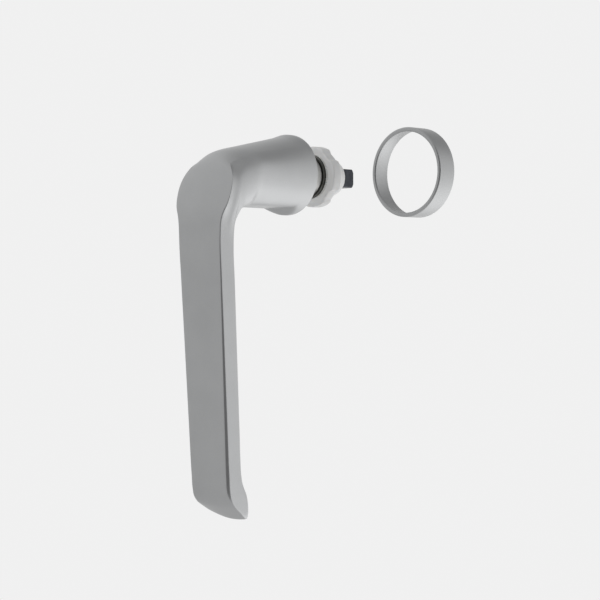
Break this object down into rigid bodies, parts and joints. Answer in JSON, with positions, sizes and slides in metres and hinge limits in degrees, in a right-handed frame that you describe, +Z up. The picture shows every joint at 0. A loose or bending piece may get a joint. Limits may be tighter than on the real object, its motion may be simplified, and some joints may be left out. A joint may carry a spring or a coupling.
{
  "type": "tilt turn handle",
  "caption": "Window lever with a round neck foot, flat tapered blade with a hooked tip, square spindle, white detent bearing and loose cover ring.",
  "frame": {"origin": "on the spindle axis, in the plane of the sash face, where the cover ring's back edge seats", "axes": "+Y along the spindle into the sash, -Y towards the room, +Z up with the closed lever hanging down, X across the blade"},
  "size_m": [0.0354, 0.1212, 0.1476],
  "materials": {
    "satin_aluminium": "bead blasted and anodised, satin",
    "bare_steel": "turned",
    "bright_steel": "bright",
    "ball_steel": "polished",
    "black_steel": "black oxide",
    "zinc_casting": "die cast",
    "white_nylon": "moulded",
    "dark_polymer": "moulded"
  },
  "bodies": {
    "bearing": {"bearing_housing": "white_nylon", "bearing_nose": "white_nylon", "front_bush": "bright_steel", "rear_bush": "dark_polymer", "wave_washer": "black_steel", "detent_spring_top": "bright_steel", "detent_spring_bottom": "bright_steel"},
    "handle": {"lever_handle": "satin_aluminium", "hub_sleeve": "bare_steel", "drive_spindle": "black_steel", "spindle_roll_pin": "bare_steel", "thrust_washer": "black_steel", "detent_rotor": "zinc_casting", "spindle_circlip": "bare_steel"},
    "top_ball": {"detent_ball_top": "ball_steel"},
    "bottom_ball": {"detent_ball_bottom": "ball_steel"},
    "ring": {"cover_ring": "satin_aluminium"}
  },
  "joints": [
    {"name": "handle_turn", "type": "hinge", "parent": "bearing", "child": "handle", "pos_m": [0, 0, 0], "axis": [0, 1, 0], "range_deg": [0, 180]},
    {"name": "top_ball_travel", "type": "slide", "parent": "bearing", "child": "top_ball", "axis": [0, 0, 1], "range_m": [-0.0004, 0], "stiffness_N_per_m": 200, "springref_m": -0.001, "deforming": ["detent_spring_top"]},
    {"name": "bottom_ball_travel", "type": "slide", "parent": "bearing", "child": "bottom_ball", "axis": [0, 0, -1], "range_m": [-0.0004, 0], "stiffness_N_per_m": 200, "springref_m": -0.001, "deforming": ["detent_spring_bottom"]},
    {"name": "ring_slide", "type": "slide", "parent": "bearing", "child": "ring", "axis": [0, -0.9979, -0.0646], "range_m": [0, 0.06814]}
  ]
}
